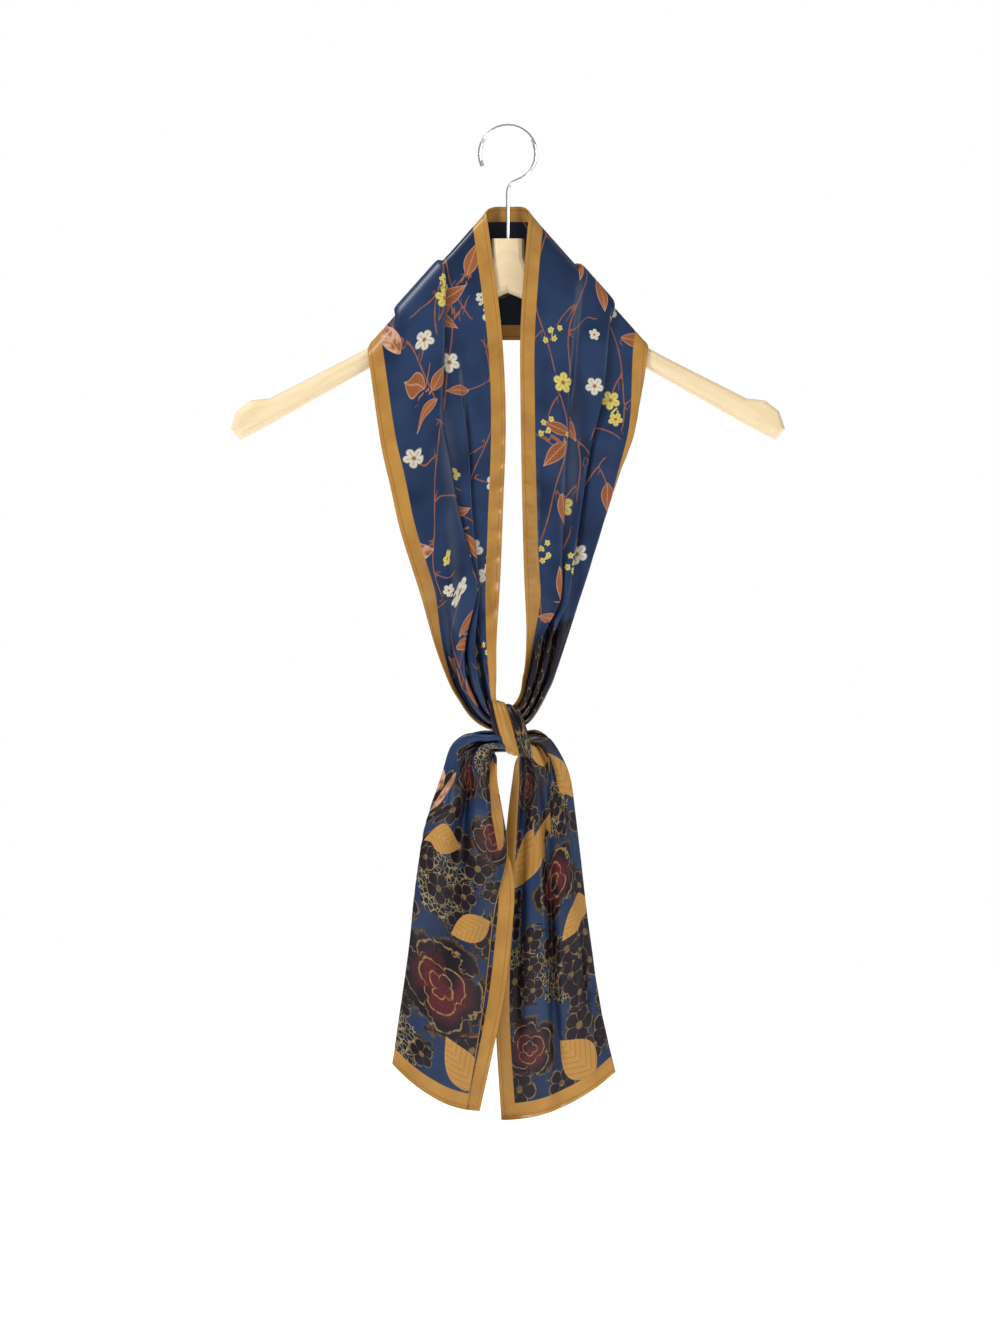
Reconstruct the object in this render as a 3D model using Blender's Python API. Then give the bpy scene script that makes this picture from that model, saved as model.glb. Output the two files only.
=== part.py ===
"""Oblong satin scarf, looped round the neck of a plain wooden clothes hanger and tied in front.

Metres, +Z up, -Y is the front.  The origin is the inside top of the hanger's hook, where a rail
touches it.  The cloth is one straight strip: it runs up from the knot, over the left shoulder,
behind the hanger's neck, over the right shoulder and back down to the knot, and its two ends
hang below.  Lengths in the tables are millimetres.
"""
import math

import bmesh
import bpy
import numpy as np

MM = 0.001

# ---- driving dimensions (mm) -------------------------------------------------------------
CLOTH_WIDTH = 150.0          # width of the strip as cut
WALL = 1.0                   # thickness of the cloth wall
TURN = 1.9                   # cloth used by one fold edge, which sets the layers' spacing
FOLD_RADIUS = 7.2            # middle of the cloth where it rolls over a shoulder
PANEL_TOP = -59.5            # upper edge of the stretch behind the neck
PANEL_WIDTH = 102.0          # width that the pleated strip shows there
FOLD_START = (7.8, -66.2)    # shoulder roll's axis beside the neck: distance from the middle, height
FOLD_END = (98.3, -168.0)    # the same axis at the arm

HANGER_THICK = 12.0
HANGER_EDGE = 5.2            # rounding of the board's long edges
HOOK_WIRE = 3.0
HOOK_RADIUS = 21.5           # middle of the wire
NECK_TOP = -85.1

KNOT_MIDDLE = (0.4, -15.4, -459.3)
KNOT_INSIDE = (10.3, 20.2)   # half depth, half height of the bundle's passage
KNOT_WALL = 1.2

# ---- folds ---------------------------------------------------------------------------------
# One row for each leg of cloth between two fold edges, from the outer edge inwards:
# lay                  -1 or +1: a leg longer than a few mm lies back, under or over the one before
# open_mm, open_deg    the leg's length and slope where the strip is spread
# part_mm, part_deg    the same where it is drawn half together
# tight_mm, tight_deg  the same where it is gathered at the knot
LEFT_FOLDS = (
    (0, 20.0, 0.0, 20.0, -16.0, 9.0, -90.0),
    (1, 1.0, 0.0, 1.0, 20.0, 13.0, 90.0),
    (0, 25.0, 0.0, 18.0, -16.0, 15.0, -90.0),
    (1, 1.0, 0.0, 1.0, 20.0, 15.0, 90.0),
    (-1, 22.0, 0.0, 22.0, 16.0, 15.0, -90.0),
    (0, 34.0, 0.0, 22.0, 16.0, 15.0, 90.0),
    (-1, 1.0, 0.0, 20.0, 16.0, 15.0, -90.0),
    (0, 16.0, 0.0, 17.0, 16.0, 14.0, 90.0),
    (0, 8.0, 0.0, 8.0, -16.0, 12.0, -90.0),
    (0, 4.9, 4.0, 3.9, 16.0, 9.9, 90.0),
)
BACK_FOLDS = (
    (0, 38.0, 0.0, 38.0, 0.0, 9.0, -90.0),
    (1, 10.1, 0.0, 10.1, 0.0, 13.0, 90.0),
    (0, 25.0, 0.0, 25.0, 0.0, 15.0, -90.0),
    (1, 1.0, 0.0, 1.0, 0.0, 15.0, 90.0),
    (-1, 10.1, 0.0, 10.1, 0.0, 15.0, -90.0),
    (0, 22.0, 0.0, 22.0, 0.0, 15.0, 90.0),
    (-1, 1.0, 0.0, 1.0, 0.0, 15.0, -90.0),
    (0, 14.0, 0.0, 14.0, 0.0, 14.0, 90.0),
    (0, 7.0, 0.0, 7.0, 0.0, 12.0, -90.0),
    (0, 4.7, 0.0, 4.7, 0.0, 9.9, 90.0),
)
RIGHT_FOLDS = (
    (0, 52.0, 0.0, 46.0, -14.0, 9.0, -90.0),
    (1, 22.0, 0.0, 28.0, -14.0, 13.0, 90.0),
    (0, 25.0, 0.0, 22.0, -14.0, 15.0, -90.0),
    (1, 1.0, 0.0, 20.0, -14.0, 15.0, 90.0),
    (-1, 1.0, 0.0, 1.0, -14.0, 15.0, -90.0),
    (0, 16.0, 0.0, 8.0, 14.0, 15.0, 90.0),
    (-1, 1.0, 0.0, 1.0, -14.0, 15.0, -90.0),
    (0, 8.0, 0.0, 4.0, 14.0, 14.0, 90.0),
    (0, 4.0, 0.0, 2.0, -14.0, 12.0, -90.0),
    (0, 2.9, 4.0, 0.9, 14.0, 9.9, 90.0),
)
TAIL_LEFT_FOLDS = (
    (1, 60.0, 0.0, 28.0, 0.0, 9.0, 90.0),
    (0, 3.0, 0.0, 4.0, 0.0, 13.0, -90.0),
    (0, 11.0, 38.0, 15.0, 74.0, 15.0, 90.0),
    (0, 11.0, -30.0, 14.0, -74.0, 15.0, -90.0),
    (0, 8.0, 30.0, 14.0, 74.0, 15.0, 90.0),
    (0, 11.0, -30.0, 14.0, -74.0, 15.0, -90.0),
    (0, 9.0, 30.0, 13.0, 74.0, 15.0, 90.0),
    (0, 8.0, -18.0, 12.0, -72.0, 14.0, -90.0),
    (0, 6.0, 8.0, 10.0, 56.0, 12.0, 90.0),
    (0, 5.9, -8.0, 8.9, -46.0, 9.9, -90.0),
)
TAIL_RIGHT_FOLDS = (
    (1, 46.0, 0.0, 28.0, 0.0, 9.0, 90.0),
    (0, 4.0, 0.0, 4.0, 0.0, 13.0, -90.0),
    (0, 16.0, 22.0, 15.0, 72.0, 15.0, 90.0),
    (0, 12.0, -20.0, 14.0, -72.0, 15.0, -90.0),
    (0, 10.0, 16.0, 14.0, 72.0, 15.0, 90.0),
    (0, 12.0, -20.0, 14.0, -72.0, 15.0, -90.0),
    (0, 10.0, 16.0, 13.0, 72.0, 15.0, 90.0),
    (0, 9.0, -16.0, 12.0, -68.0, 14.0, -90.0),
    (0, 8.0, 10.0, 10.0, 54.0, 12.0, 90.0),
    (0, 5.9, -6.0, 8.9, -44.0, 9.9, -90.0),
)
LAY, OPEN, PART, TIGHT = 0, 1, 3, 5      # columns: the state's length, then its slope
EASING = np.array([1.0, 2.0, 3.0, 4.0, 3.0, 2.0, 1.0]) / 16.0
ROWS_PER_STEP = 3
SPLIT_LEAN = 0.4

# ---- rows across the cloth, seen from the front ---------------------------------------------
# outer_x, outer_z, inner_x, inner_z   the row's two ends
# back_y                               its rearmost layer
# bow                                  how far its middle hangs below the straight line
LEFT_STRAND = (
    (-97.0, -239.4, -5.2, -150.0, -7.2, 0.0),
    (-89.2, -274.4, -1.5, -222.0, -7.2, 0.0),
    (-81.3, -309.3, -3.6, -288.0, -7.4, 0.0),
    (-66.3, -355.7, -6.0, -348.0, -7.8, 0.0),
    (-55.5, -394.4, -8.7, -390.5, -8.0, 0.0),
    (-44.3, -424.0, -8.6, -423.0, -8.0, 0.0),
    (-37.4, -437.0, -11.6, -433.0, -8.0, 0.0),
    (-28.8, -449.0, -14.6, -438.0, -8.0, 0.0),
    (-20.6, -456.2, -13.8, -440.0, -8.0, 0.0),
    (-12.4, -458.4, -12.0, -440.4, -8.0, 0.0),
    (-0.8, -458.4, -0.8, -440.4, -8.0, 0.0),
)
RIGHT_STRAND = (
    (97.6, -232.0, 9.6, -150.0, -7.2, 0.0),
    (86.0, -264.0, 9.6, -215.0, -7.2, 0.0),
    (73.7, -301.7, 10.8, -284.0, -7.4, 0.0),
    (58.8, -350.0, 12.3, -342.0, -7.8, 0.0),
    (45.6, -389.0, 14.2, -384.0, -8.0, 0.0),
    (34.5, -421.0, 13.8, -414.0, -8.0, 0.0),
    (30.6, -433.0, 12.0, -427.5, -8.0, 0.0),
    (27.5, -444.0, 12.6, -433.0, -8.0, 0.0),
    (22.6, -454.0, 13.8, -438.0, -8.0, 0.0),
    (14.0, -458.4, 13.2, -440.4, -8.0, 0.0),
    (0.8, -458.4, 0.8, -440.4, -8.0, 0.0),
)
TAIL_LEFT = (
    (-0.8, -460.2, -0.8, -478.2, -8.0, 0.0),
    (-12.4, -460.2, -12.4, -478.2, -8.0, 0.0),
    (-24.0, -460.4, -14.6, -479.4, -8.4, 0.0),
    (-36.5, -464.0, -13.6, -483.6, -9.4, 0.0),
    (-44.6, -474.0, -11.4, -489.6, -10.4, 0.0),
    (-50.0, -491.0, -8.4, -499.0, -11.5, 0.0),
    (-57.0, -511.0, -4.6, -513.0, -12.5, 0.0),
    (-66.2, -536.0, -0.6, -536.0, -13.0, 0.0),
    (-71.2, -577.0, 5.0, -580.0, -13.0, 0.0),
    (-75.4, -620.0, 2.4, -616.0, -13.0, 1.0),
    (-82.0, -668.0, -3.8, -667.0, -13.0, 4.0),
    (-88.4, -712.0, -21.3, -748.6, -13.0, 9.0),
)
TAIL_RIGHT = (
    (0.8, -460.2, 0.8, -478.2, -8.0, 0.0),
    (14.0, -460.2, 13.2, -478.2, -8.0, 0.0),
    (22.0, -459.6, 15.6, -479.4, -7.0, 0.0),
    (31.0, -464.6, 15.2, -483.0, -5.0, 0.0),
    (39.0, -475.0, 12.0, -488.4, -2.0, 0.0),
    (47.8, -494.6, 6.6, -499.6, 1.5, 0.0),
    (51.6, -519.8, 1.4, -520.0, 3.5, 0.0),
    (56.4, -558.6, -3.0, -556.0, 4.0, 0.0),
    (62.0, -606.0, -7.0, -604.0, 4.0, 0.0),
    (71.0, -668.0, -10.0, -668.0, 4.0, 3.0),
    (82.8, -720.0, -5.0, -757.0, 4.0, 10.0),
)


# ---- helpers ---------------------------------------------------------------------------------
def material(name, colour, roughness, metallic=0.0):
    made = bpy.data.materials.new(name)
    made.use_nodes = True
    shader = made.node_tree.nodes["Principled BSDF"]
    shader.inputs["Base Color"].default_value = (*colour, 1.0)
    shader.inputs["Roughness"].default_value = roughness
    shader.inputs["Metallic"].default_value = metallic
    return made


def add_object(name, verts, faces, finish):
    """Make one closed mesh object from millimetre points, its faces pointing out."""
    mesh = bpy.data.meshes.new(name)
    mesh.from_pydata([tuple(c * MM for c in point) for point in verts], [], faces)
    work = bmesh.new()
    work.from_mesh(mesh)
    bmesh.ops.recalc_face_normals(work, faces=work.faces)
    work.to_mesh(mesh)
    work.free()
    mesh.materials.append(finish)
    made = bpy.data.objects.new(name, mesh)
    bpy.context.collection.objects.link(made)
    mesh.shade_smooth()
    mesh.set_sharp_from_angle(angle=math.radians(50))
    return made


def mix(a, b, share):
    return np.asarray(a, float) * (1.0 - share) + np.asarray(b, float) * share


def smooth_rows(table, per_step):
    """Rows between the table's own, on a Catmull-Rom curve through them."""
    keys = np.array(table, float)
    ends = np.vstack([2 * keys[0] - keys[1], keys, 2 * keys[-1] - keys[-2]])
    rows = []
    for i in range(len(keys) - 1):
        before, start, stop, after = ends[i:i + 4]
        for k in range(per_step):
            t = k / per_step
            rows.append(0.5 * (2 * start + (stop - before) * t
                               + (2 * before - 5 * start + 4 * stop - after) * t ** 2
                               + (3 * start - before - 3 * stop + after) * t ** 3))
    rows.append(keys[-1])
    return rows


# ---- the cloth's cross-section -----------------------------------------------------------------
def legs_and_slopes(folds, gather):
    """The legs' lengths and slopes; gather 0 is open, 1 half together, 2 tight."""
    table = np.array(folds, float)
    early = min(gather, 1.0)
    late = max(gather - 1.0, 0.0)
    legs = mix(table[:, OPEN], table[:, PART], early)
    laid = np.clip((legs - 1.0) / 3.0, 0.0, 1.0)
    slopes = 180.0 * table[:, LAY] * laid + mix(table[:, OPEN + 1], table[:, PART + 1], early)
    legs = mix(legs, table[:, TIGHT], late)
    slopes = mix(slopes, table[:, TIGHT + 1], late)
    legs = legs * (CLOTH_WIDTH - TURN * (len(folds) - 1)) / legs.sum()
    return legs, np.radians(slopes)


def fold_line(folds, gather):
    """Points (across, forward) of the strip's middle line."""
    legs, slopes = legs_and_slopes(folds, gather)
    points = [np.zeros(2)]
    for i, (leg, slope) in enumerate(zip(legs, slopes)):
        points.append(points[-1] + leg * np.array([math.cos(slope), math.sin(slope)]))
        if i + 1 < len(legs):
            edge = 0.5 * (slope + slopes[i + 1])
            points.append(points[-1] + TURN * np.array([math.cos(edge), math.sin(edge)]))
    return np.array(points)


def gather_for(folds, width):
    """How far the folds are drawn together to span the width."""
    low, high = 0.0, 2.0
    for _ in range(30):
        middle = 0.5 * (low + high)
        if np.ptp(fold_line(folds, middle)[:, 0]) > width:
            low = middle
        else:
            high = middle
    return high


def eased(values):
    """Each value averaged with its neighbours, so that folds open gradually along the strip."""
    reach = len(EASING) // 2
    padded = np.concatenate([[values[0]] * reach, values, [values[-1]] * reach])
    return np.convolve(padded, EASING, mode="valid")


def section(folds, gather, width):
    """The fold line spanning the width, rearmost point at 0."""
    line = fold_line(folds, gather)
    line -= line.min(axis=0)
    line[:, 0] *= width / line[:, 0].max()
    return line


def wall_outline(line):
    """Front side, then back side reversed: the closed outline of the cloth's wall."""
    step = np.diff(line, axis=0)
    step /= np.linalg.norm(step, axis=1)[:, None]
    side = np.stack([-step[:, 1], step[:, 0]], axis=1)
    first = np.vstack([side[:1], side])
    last = np.vstack([side, side[-1:]])
    bisector = first + last
    bisector /= np.linalg.norm(bisector, axis=1)[:, None]
    reach = 0.5 * WALL / np.maximum((bisector * last).sum(axis=1), 0.6)
    offset = bisector * reach[:, None]
    return np.vstack([line + offset, (line - offset)[::-1]])


# ---- shoulders -----------------------------------------------------------------------------------
class Shoulder:
    """The roll of cloth over one side: a half turn round a slanting axis."""

    def __init__(self, side):
        self.start = np.array([side * FOLD_START[0], FOLD_START[1]])
        along = np.array([side * FOLD_END[0], FOLD_END[1]]) - self.start
        self.along = along / np.linalg.norm(along)
        self.out = np.array([side * abs(self.along[1]), abs(self.along[0])])
        self.turn = math.pi * FOLD_RADIUS

    def across(self, point):
        return float((np.asarray(point) - self.start) @ self.out)

    def unfolded(self, point):
        """Where a point of the stretch behind the neck lies with the strip opened flat."""
        away = self.across(point)
        return np.asarray(point) + (self.turn - 2 * away) * self.out

    def placed(self, point, depth):
        """The flat strip's point, wrapped over the shoulder, depth mm out from the hanger."""
        away = self.across(point)
        reach = FOLD_RADIUS + depth
        if away <= 0:
            where, forward = away, reach
        elif away < self.turn:
            angle = away / FOLD_RADIUS
            where, forward = reach * math.sin(angle), reach * math.cos(angle)
        else:
            where, forward = self.turn - away, -reach
        flat = np.asarray(point) + (where - away) * self.out
        return np.array([flat[0], -forward, flat[1]])


def shoulder_rows(side):
    """Row ends from the middle of the back, over the shoulder, to the front, on the flat strip."""
    roll = Shoulder(side)
    outer = roll.unfolded((0.0, PANEL_TOP - PANEL_WIDTH))
    inner = roll.unfolded((0.0, PANEL_TOP))
    run = roll.unfolded((side * 10.0, PANEL_TOP)) - inner
    run /= np.linalg.norm(run)
    fall = float(run @ roll.out)
    behind = [(roll.turn - roll.across(end)) / fall for end in (outer, inner)]
    front = [(0.0 - roll.across(end)) / fall for end in (outer, inner)]
    rows = []
    for share in np.linspace(0.0, 1.0, 4)[:-1]:
        rows.append([outer + run * behind[0] * share, inner + run * behind[1] * share])
    for share in np.linspace(0.0, 1.0, 8):
        stops = mix(behind, front, share)
        rows.append([outer + run * stops[0], inner + run * stops[1]])
    return roll, rows


def cloth_mesh(rings):
    """Skin a list of wall outlines, all of the same count, and close both ends.

    Every face between two rows is split from its lower end in the first row to its upper end in
    the next, lower and upper along one direction, so that layers lying close keep their distance.
    """
    count = len(rings[0])
    verts = [point for ring in rings for point in ring]
    faces = []
    for i in range(len(rings) - 1):
        ring = np.array(rings[i])
        span = ring[count // 2 - 1] - ring[0]
        heading = span - np.array([0.0, SPLIT_LEAN * np.linalg.norm(span), 0.0])
        for k in range(count):
            after = (k + 1) % count
            here, there = i * count, (i + 1) * count
            if (ring[after] - ring[k]) @ heading > 0:
                faces += [(here + k, here + after, there + after),
                          (here + k, there + after, there + k)]
            else:
                faces += [(here + k, here + after, there + k),
                          (here + after, there + after, there + k)]
    for base in (0, (len(rings) - 1) * count):
        for k in range(count // 2 - 1):
            faces.append((base + k, base + k + 1, base + count - 2 - k, base + count - 1 - k))
    return verts, faces


def strip_rings(rows, placed):
    """Wall outlines in space for rows of (outer, inner, back_y, bow, folds)."""
    middles = [0.5 * (np.asarray(outer) + np.asarray(inner)) for outer, inner, *_ in rows]
    widths = []
    for i, (outer, inner, *_) in enumerate(rows):
        run = middles[min(i + 1, len(rows) - 1)] - middles[max(i - 1, 0)]
        span = inner - outer
        widths.append(abs(span[0] * run[1] - span[1] * run[0]) / np.linalg.norm(run))
    gathers = eased([gather_for(row[4], width) for row, width in zip(rows, widths)])
    rings = []
    for (outer, inner, back_y, bow, folds), width, gather in zip(rows, widths, gathers):
        ring = []
        for across, forward in wall_outline(section(folds, gather, width)):
            share = across / width
            sag = np.array([0.0, bow * 4 * share * (1 - share)])
            ring.append(placed(outer + (inner - outer) * share - sag, forward, back_y))
        rings.append(ring)
    return rings


def strand_rings(side, table, folds):
    """The half of the neck loop on one side, from the middle of the back to the knot."""
    roll, ends = shoulder_rows(side)
    start = (*ends[-1][0], *ends[-1][1], -FOLD_RADIUS, 0.0)
    rows = []
    for i, (outer, inner) in enumerate(ends[:-1]):
        blended = mix(BACK_FOLDS, folds, i / (len(ends) - 1))
        rows.append((outer, inner, -FOLD_RADIUS, 0.0, blended))
    rows += [(row[:2], row[2:4], row[4], row[5], folds)
             for row in smooth_rows((start,) + table, ROWS_PER_STEP)]

    def placed(point, forward, back_y):
        return roll.placed(point, forward - FOLD_RADIUS - back_y)
    return strip_rings(rows, placed)


def tail_rings(table, folds):
    rows = [(row[:2], row[2:4], row[4], row[5], folds)
            for row in smooth_rows(table, ROWS_PER_STEP)]

    def placed(point, forward, back_y):
        return np.array([point[0], back_y - forward, point[1]])
    return strip_rings(rows, placed)


# ---- pieces ------------------------------------------------------------------------------------
def build_neck_loop(finish):
    left = strand_rings(-1, LEFT_STRAND, LEFT_FOLDS)
    right = strand_rings(1, RIGHT_STRAND, RIGHT_FOLDS)
    rings = left[::-1] + right[1:]
    return add_object("neck_loop", *cloth_mesh(rings), finish)


def build_tails(finish):
    add_object("tail_left", *cloth_mesh(tail_rings(TAIL_LEFT, TAIL_LEFT_FOLDS)), finish)
    add_object("tail_right", *cloth_mesh(tail_rings(TAIL_RIGHT, TAIL_RIGHT_FOLDS)), finish)


# band_x  place along the knot, from its left mouth; swell  how far the outside stands out
KNOT_BAND = (
    (-11.4, 0.0), (-9.6, 1.6), (-5.0, 2.6), (-1.2, 1.0), (0.8, 0.2),
    (3.0, 1.4), (6.6, 2.2), (10.4, 1.4), (12.6, 0.0),
)
KNOT_SIDES = 32
KNOT_SQUARENESS = 4.6
KNOT_LEAN = math.radians(6.0)    # the band's edges lean, lower end to the right


def knot_point(band_x, angle, grow):
    """A point of the tube round the bundle; grow is its distance out from the passage."""
    half_y = KNOT_INSIDE[0] + grow
    half_z = KNOT_INSIDE[1] + grow
    reach = (abs(math.cos(angle)) ** KNOT_SQUARENESS
             + abs(math.sin(angle)) ** KNOT_SQUARENESS) ** (-1.0 / KNOT_SQUARENESS)
    y = half_y * reach * math.cos(angle)
    z = half_z * reach * math.sin(angle)
    x = band_x - math.tan(KNOT_LEAN) * z * 0.5
    return (KNOT_MIDDLE[0] + x, KNOT_MIDDLE[1] + y, KNOT_MIDDLE[2] + z)


def build_knot_wrap(finish):
    stations = [(band_x, KNOT_WALL + swell) for band_x, swell in KNOT_BAND]
    stations += [(band_x, 0.0 if 0 < i < len(KNOT_BAND) - 1 else 0.1)
                 for i, (band_x, swell) in enumerate(KNOT_BAND)][::-1]
    verts = []
    faces = []
    for band_x, grow in stations:
        for k in range(KNOT_SIDES):
            verts.append(knot_point(band_x, 2 * math.pi * k / KNOT_SIDES, grow))
    for i in range(len(stations)):
        following = (i + 1) % len(stations)
        for k in range(KNOT_SIDES):
            after = (k + 1) % KNOT_SIDES
            faces.append((i * KNOT_SIDES + k, i * KNOT_SIDES + after,
                          following * KNOT_SIDES + after, following * KNOT_SIDES + k))
    return add_object("knot_wrap", verts, faces, finish)


# x, z of half the board's outline, from the top of its neck to the notch under the middle
HANGER_HALF = (
    (13.0, NECK_TOP), (13.4, -99.0), (17.0, -110.0), (26.0, -122.0), (60.0, -142.4),
    (120.0, -175.2), (182.0, -206.6), (196.0, -208.0), (207.0, -216.5), (211.4, -230.0),
    (204.0, -238.2), (181.0, -226.0), (90.0, -174.6), (30.0, -140.6), (12.0, -131.0),
)
HANGER_NOTCH = (0.0, -126.0)


def build_hanger(finish):
    outline = list(HANGER_HALF) + [HANGER_NOTCH] + [(-x, z) for x, z in HANGER_HALF[::-1]]
    half = 0.5 * HANGER_THICK
    work = bmesh.new()
    face = work.faces.new([work.verts.new((x * MM, half * MM, z * MM)) for x, z in outline])
    work.faces.ensure_lookup_table()
    swept = bmesh.ops.extrude_face_region(work, geom=[face])
    moved = [item for item in swept["geom"] if isinstance(item, bmesh.types.BMVert)]
    bmesh.ops.translate(work, verts=moved, vec=(0.0, -HANGER_THICK * MM, 0.0))
    bmesh.ops.recalc_face_normals(work, faces=work.faces)
    rim = [edge for edge in work.edges
           if abs(edge.verts[0].co.y - edge.verts[1].co.y) < 1e-6
           and not all(vert.co.z > (NECK_TOP - 0.1) * MM for vert in edge.verts)]
    bmesh.ops.bevel(work, geom=rim, offset=HANGER_EDGE * MM, segments=3, profile=0.5,
                    affect='EDGES', clamp_overlap=True)
    mesh = bpy.data.meshes.new("hanger_wood")
    work.to_mesh(mesh)
    work.free()
    mesh.materials.append(finish)
    made = bpy.data.objects.new("hanger_wood", mesh)
    bpy.context.collection.objects.link(made)
    mesh.shade_smooth()
    mesh.set_sharp_from_angle(angle=math.radians(50))
    return made


HOOK_BEND = 9.0              # bend between the stem and the round part
HOOK_END = 205.0             # where the round part stops, degrees from +X
SEAT_GAP = 0.3


def hook_route():
    """The wire's middle line: straight stem, small bend, then the round part."""
    middle = np.array([0.0, -HOOK_RADIUS + 0.5 * HOOK_WIRE])
    # the bend's circle touches the stem's line and the round part from outside
    bend_x = HOOK_BEND
    drop = math.sqrt((HOOK_RADIUS + HOOK_BEND) ** 2 - bend_x ** 2)
    bend = middle + np.array([bend_x, -drop])
    meet = math.degrees(math.atan2(bend[1] - middle[1], bend[0] - middle[0]))
    points = [np.array([0.0, NECK_TOP + SEAT_GAP])]
    for share in np.linspace(0.0, 1.0, 5):
        angle = math.radians(180.0 - share * (180.0 - (meet + 180.0)))
        points.append(bend + HOOK_BEND * np.array([math.cos(angle), math.sin(angle)]))
    for share in np.linspace(0.0, 1.0, 25)[1:]:
        angle = math.radians(meet + share * (HOOK_END - meet))
        points.append(middle + HOOK_RADIUS * np.array([math.cos(angle), math.sin(angle)]))
    return points


def build_hook(finish):
    curve = bpy.data.curves.new("hanger_hook", 'CURVE')
    curve.dimensions = '3D'
    curve.bevel_depth = 0.5 * HOOK_WIRE * MM
    curve.bevel_resolution = 2
    curve.use_fill_caps = True
    points = hook_route()
    spline = curve.splines.new('POLY')
    spline.points.add(len(points) - 1)
    for spot, (x, z) in zip(spline.points, points):
        spot.co = (x * MM, 0.0, z * MM, 1.0)
    made = bpy.data.objects.new("hanger_hook", curve)
    bpy.context.collection.objects.link(made)
    curve.materials.append(finish)
    return made


def main():
    for item in list(bpy.data.objects):
        bpy.data.objects.remove(item, do_unlink=True)
    navy = material("navy satin, front of the loop", (0.030, 0.048, 0.130), 0.42)
    dark = material("dark printed satin, ends", (0.034, 0.028, 0.050), 0.42)
    gold = material("ochre border satin, knot", (0.430, 0.230, 0.055), 0.40)
    maple = material("pale maple", (0.760, 0.640, 0.450), 0.50)
    steel = material("bright steel", (0.780, 0.780, 0.780), 0.22, 1.0)
    build_hanger(maple)
    build_hook(steel)
    build_neck_loop(navy)
    build_tails(dark)
    build_knot_wrap(gold)


main()
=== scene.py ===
"""Oblong satin scarf, looped round the neck of a wooden clothes hanger and tied in front.

Metres, +Z up, -Y is the front; the origin is the inside top of the hanger's hook.  Lengths in
the tables are millimetres.  The strip of cloth is 150 mm wide and 1500 mm long.  A point of the
flat strip is (along, across): along runs from -750 at the end of the left tail, over 0 at the
back of the neck, to +750 at the end of the right tail, and across from 0 at the edge that lies
outside on the strands to 150 at the edge beside the opening.
"""
import math
import random

import bpy
import numpy as np
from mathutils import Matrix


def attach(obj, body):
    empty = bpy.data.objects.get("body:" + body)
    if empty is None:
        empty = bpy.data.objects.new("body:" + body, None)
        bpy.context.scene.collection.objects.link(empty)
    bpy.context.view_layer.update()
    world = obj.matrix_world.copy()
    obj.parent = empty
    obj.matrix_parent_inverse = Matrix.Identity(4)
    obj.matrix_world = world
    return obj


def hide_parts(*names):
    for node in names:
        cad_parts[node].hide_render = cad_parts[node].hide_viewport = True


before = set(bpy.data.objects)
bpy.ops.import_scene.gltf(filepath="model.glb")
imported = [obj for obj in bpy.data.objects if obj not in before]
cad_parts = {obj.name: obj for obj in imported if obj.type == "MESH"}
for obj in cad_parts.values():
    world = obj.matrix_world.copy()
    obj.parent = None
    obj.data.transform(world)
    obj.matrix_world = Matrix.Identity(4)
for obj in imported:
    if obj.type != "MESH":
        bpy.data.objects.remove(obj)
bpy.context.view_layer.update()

MM = 0.001

# ---- cloth (mm) -------------------------------------------
CLOTH_WIDTH = 150.0
CLOTH_LENGTH = 1500.0
TURN = 1.9                   # cloth used by one fold edge
HALF_WALL = 0.25             # half the satin's thickness
HEM_WALL = 0.55              # half the thickness of the rolled hem
HEM_PLACE = 1.3              # the hem's middle, from the edge
HEM_REACH = 0.9              # how far from its middle it swells
FOLD_RADIUS = 7.2            # of the roll over a shoulder, whose axis runs from start to end
FOLD_START = (7.8, -66.2)
FOLD_END = (98.3, -168.0)
PANEL_TOP = -59.5            # the cloth behind the neck
PANEL_WIDTH = 102.0
BACK_ROWS = 4                # rows of the panel on each side of the middle
ROLL_ROWS = 8                # rows round a shoulder
KNOT_MIDDLE = (0.4, -15.4, -459.3)
SUB_ROWS = 5                 # rows of the mesh for each row of a strand or tail
SOFTENING = 2.4              # how many of them are averaged, along the strip
BORDER = 11.5                # width of the printed border
END_BORDER = 12.5

# legs of cloth from the outer edge inwards, each spread, half together and gathered:
# lay, open_mm, open_deg, part_mm, part_deg, tight_mm, tight_deg
LEFT_TOP_FOLDS = (
    (0, 20, 0, 20, -16, 10, -65), (1, 1, 0, 1, 20, 1, 0),
    (0, 40, 0, 18, -16, 11, 80), (1, 1, 0, 1, 20, 4, -10),
    (-1, 22, 0, 22, 16, 12, -84), (0, 19, 0, 22, 16, 12, 84),
    (-1, 1, 0, 20, 16, 4, 0), (0, 16, 0, 17, 16, 11, -80),
    (0, 8, 0, 8, -16, 11, 70), (0, 4.9, 4, 3.9, 16, 9, 30),
)
LEFT_FOLDS = (
    (0, 20, 0, 20, -16, 10, -65), (1, 1, 0, 1, 20, 1, 0),
    (0, 19, 0, 18, -16, 11, 80), (1, 1, 0, 1, 20, 4, -10),
    (-1, 22, 0, 22, 16, 12, -84), (0, 40, 0, 22, 16, 12, 84),
    (-1, 1, 0, 20, 16, 4, 0), (0, 16, 0, 17, 16, 11, -80),
    (0, 8, 0, 8, -16, 11, 70), (0, 4.9, 4, 3.9, 16, 9, 30),
)
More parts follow.
